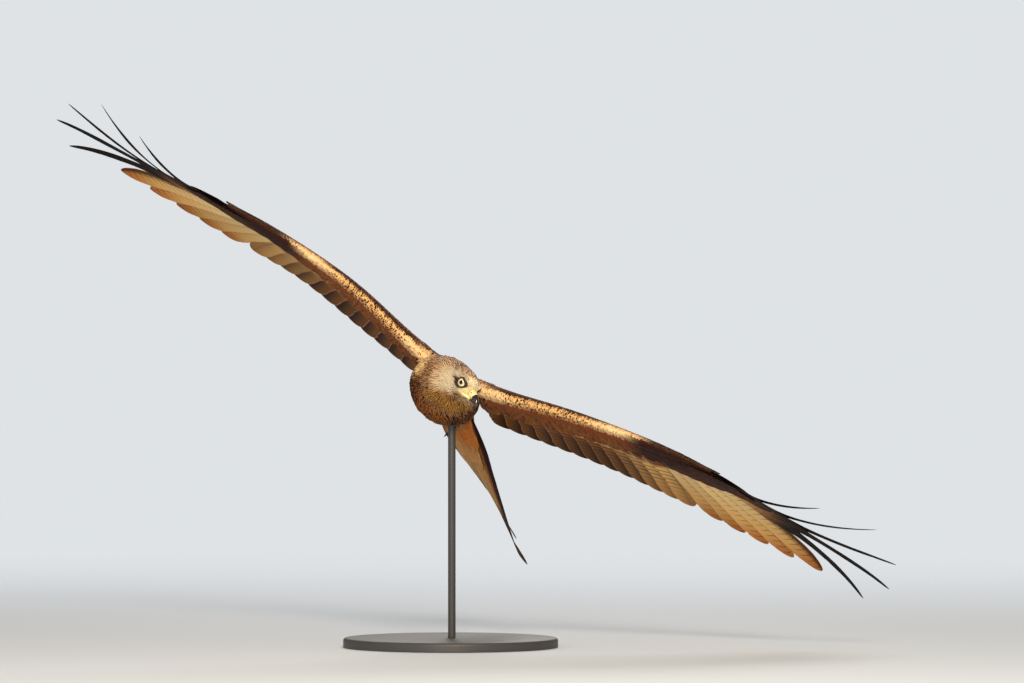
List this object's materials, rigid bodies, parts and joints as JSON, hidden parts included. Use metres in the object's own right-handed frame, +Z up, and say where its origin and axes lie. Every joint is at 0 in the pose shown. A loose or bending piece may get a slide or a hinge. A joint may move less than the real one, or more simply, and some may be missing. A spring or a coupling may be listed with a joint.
{
  "type": "red kite bird model",
  "caption": "Life-size still model of a red kite in banked gliding flight with spread wings and forked tail, held by a rod on a round display stand.",
  "frame": {"origin": "middle of the stand base's underside, on the floor", "axes": "+X towards the lower, left wing, +Y away from the side that the bird faces, +Z up"},
  "size_m": [1.4509, 0.6472, 0.9345],
  "materials": {
    "plumage_head": "soft grey-white feathers with fine dark shaft streaks",
    "plumage_neck": "soft buff and rufous feathers with dark streaks",
    "plumage_trunk": "soft rufous feathers with dark streaks and pale edges",
    "plumage_arm": "smooth rufous and cream feathers, dark barred flight feathers",
    "plumage_hand": "smooth feathers, pale inside and black at the tips",
    "plumage_tail": "smooth rufous feathers, buff below, with dark outer edges",
    "plumage_thigh": "soft rusty feathers on the thigh, scaled yellow skin on the toes",
    "horn": "polished dark horn",
    "cere": "waxy yellow skin",
    "eye": "wet glossy eye with pale iris and black pupil",
    "stand_paint": "satin dark grey powder coat"
  },
  "bodies": {
    "root": {"head": "plumage_head", "bill_upper": "horn", "bill_lower": "cere", "eye_left": "eye", "eye_right": "eye", "torso": "plumage_trunk", "neck": "plumage_neck", "tail": "plumage_tail", "wing_left_inner": "plumage_arm", "wing_left_outer": "plumage_hand", "wing_right_inner": "plumage_arm", "wing_right_outer": "plumage_hand", "leg_left": "plumage_thigh", "leg_right": "plumage_thigh", "claw_left_1": "horn", "claw_left_2": "horn", "claw_left_3": "horn", "claw_left_4": "horn", "claw_right_1": "horn", "claw_right_2": "horn", "claw_right_3": "horn", "claw_right_4": "horn", "stand_base": "stand_paint", "stand_rod": "stand_paint"}
  },
  "joints": []
}
